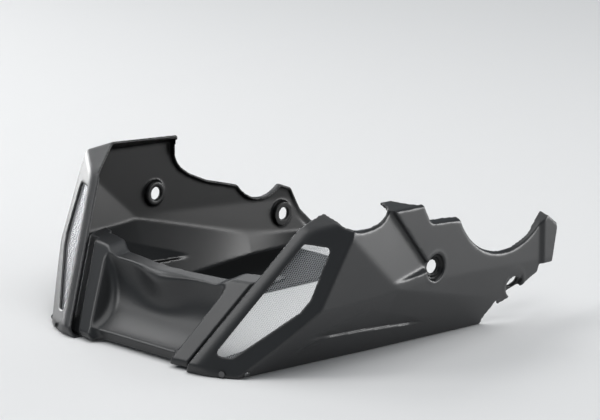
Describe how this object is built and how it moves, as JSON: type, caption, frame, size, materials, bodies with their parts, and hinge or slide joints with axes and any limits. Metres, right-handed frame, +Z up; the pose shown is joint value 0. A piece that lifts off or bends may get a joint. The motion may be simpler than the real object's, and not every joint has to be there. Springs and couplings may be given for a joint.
{
  "type": "motorcycle belly pan",
  "caption": "Open-topped lower fairing with two faceted side panels, meshed side windows and a scooped front cover between them.",
  "frame": {"origin": "middle of the bounding box's footprint, at the height of the floor flanges' undersides", "axes": "-Y towards the front of the motorcycle, +X towards its left side, +Z up"},
  "size_m": [0.3865, 0.4316, 0.1583],
  "materials": {
    "panel_plastic": "satin black moulded plastic",
    "mesh_metal": "bare perforated sheet",
    "screw_steel": "dark plated"
  },
  "bodies": {
    "root": {"side_panel_left": "panel_plastic", "side_panel_right": "panel_plastic", "front_cover": "panel_plastic", "mesh_left": "mesh_metal", "mesh_right": "mesh_metal", "joining_screws": "screw_steel"}
  },
  "joints": []
}
